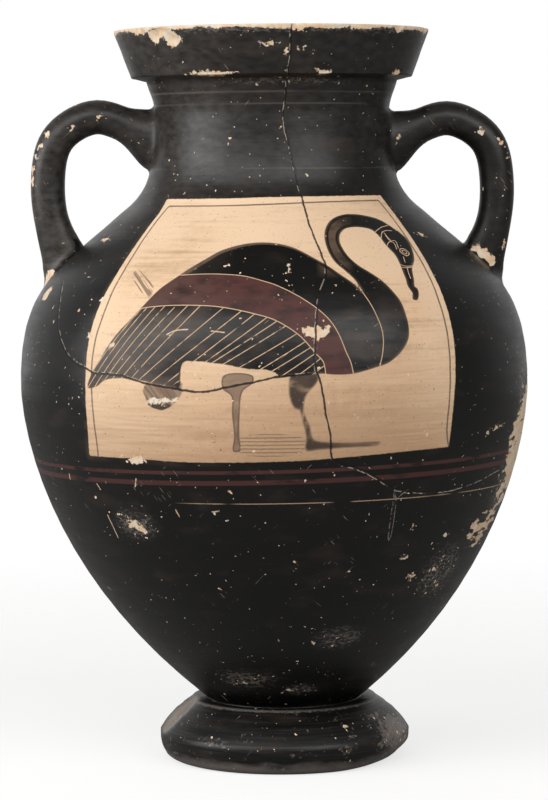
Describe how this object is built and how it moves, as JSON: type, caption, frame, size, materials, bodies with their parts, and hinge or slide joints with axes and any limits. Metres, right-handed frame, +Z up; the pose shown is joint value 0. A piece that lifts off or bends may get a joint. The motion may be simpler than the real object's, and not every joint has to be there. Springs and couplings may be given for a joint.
{
  "type": "black-figure amphora",
  "caption": "Fired-clay storage jar with a flaring lip, upright side handles, swelling body and flaring foot, in black gloss with a reserved picture panel.",
  "frame": {"origin": "on the floor, under the middle of the jar's widest place, at the bottom centre of its bounding box", "axes": "+Z up along the jar; -Y is the front, with the picture panel; the handles stand on the +X and -X sides"},
  "size_m": [0.2788, 0.2788, 0.4],
  "materials": {
    "black_gloss": "satin"
  },
  "bodies": {
    "root": {"amphora": "black_gloss"}
  },
  "joints": []
}
